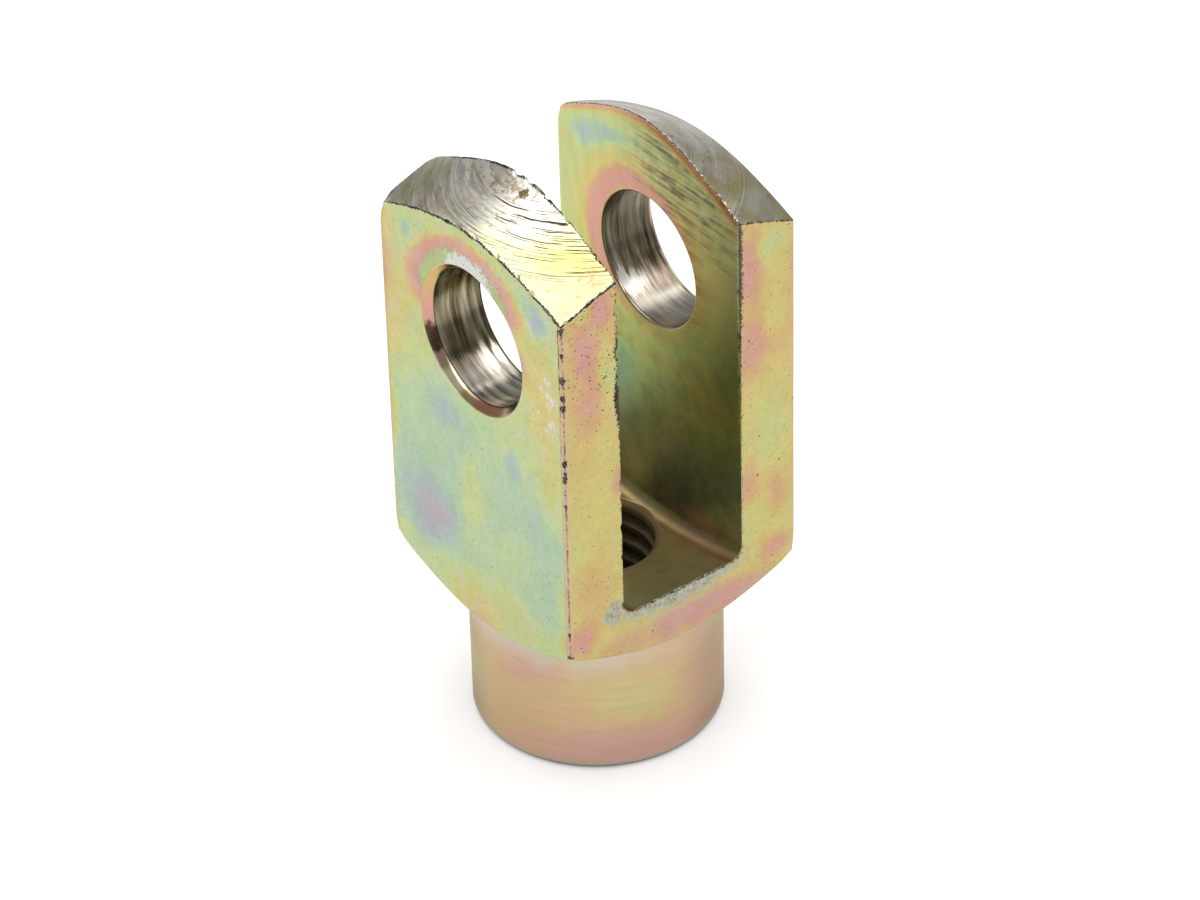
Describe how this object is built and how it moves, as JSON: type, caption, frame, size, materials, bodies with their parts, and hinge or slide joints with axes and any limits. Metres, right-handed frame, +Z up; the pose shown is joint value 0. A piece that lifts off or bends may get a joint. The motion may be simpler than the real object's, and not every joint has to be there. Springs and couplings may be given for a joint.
{
  "type": "clevis rod end",
  "caption": "Fork head of square bar with a cross bore through both ears for a clevis pin, a slot for an eye, and a round neck threaded for a rod.",
  "frame": {"origin": "centre of the neck's bottom face, on the thread's axis", "axes": "+Z up along the thread's axis, towards the ears; X along the pin's axis, through both ears; Y along the slot"},
  "size_m": [0.016, 0.016, 0.0371],
  "materials": {
    "plated_steel": "zinc plated and yellow passivated, with turned ends and a drilled bore left brighter"
  },
  "bodies": {
    "root": {"fork_head": "plated_steel"}
  },
  "joints": []
}
